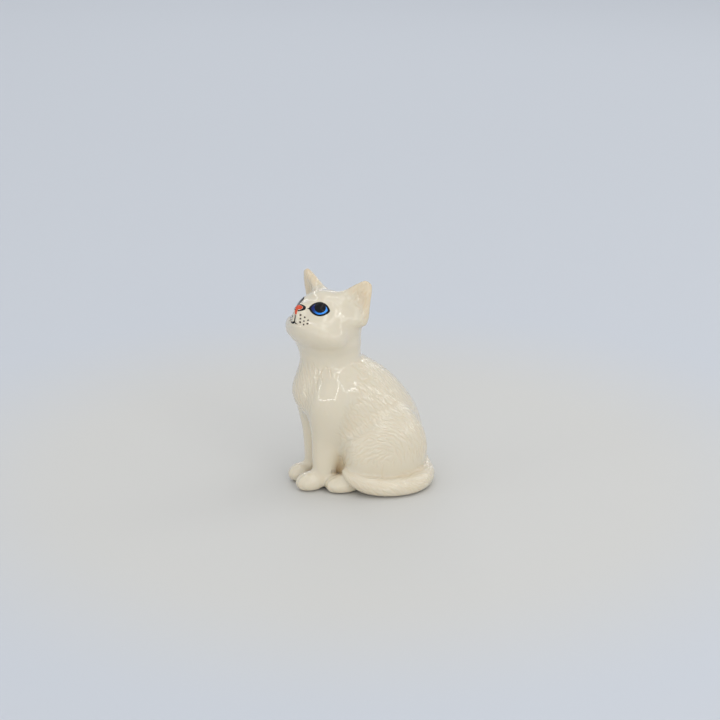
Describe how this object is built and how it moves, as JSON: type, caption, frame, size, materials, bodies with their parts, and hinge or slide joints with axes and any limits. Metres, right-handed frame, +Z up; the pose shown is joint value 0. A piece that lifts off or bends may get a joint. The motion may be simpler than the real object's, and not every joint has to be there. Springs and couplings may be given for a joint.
{
  "type": "ceramic cat figurine",
  "caption": "Sitting kitten figurine in cream glazed earthenware, head lifted and turned to its left, tail curled to the front, with enamelled blue eyes.",
  "frame": {"origin": "middle of the figurine's footprint, on the surface that it stands on", "axes": "+Z up, chest toward -Y, the kitten's own left side toward +X"},
  "size_m": [0.0734, 0.0918, 0.1325],
  "materials": {
    "cream_glaze": "glossy clear glaze over cream earthenware",
    "black_enamel": "glossy fired-on black enamel",
    "blue_enamel": "glossy fired-on blue enamel",
    "coral_enamel": "glossy fired-on coral red enamel"
  },
  "bodies": {
    "root": {"head_shell": "cream_glaze", "left_ear": "cream_glaze", "left_eye_iris": "blue_enamel", "left_eye_outline": "black_enamel", "left_eye_pupil": "black_enamel", "left_foreleg": "cream_glaze", "left_haunch": "cream_glaze", "left_hind_paw": "cream_glaze", "mouth_line": "black_enamel", "nose_enamel": "coral_enamel", "nose_outline": "black_enamel", "right_ear": "cream_glaze", "right_eye_iris": "blue_enamel", "right_eye_outline": "black_enamel", "right_eye_pupil": "black_enamel", "right_foreleg": "cream_glaze", "right_haunch": "cream_glaze", "right_hind_paw": "cream_glaze", "tail": "cream_glaze", "torso_shell": "cream_glaze", "whisker_dots": "black_enamel"}
  },
  "joints": []
}
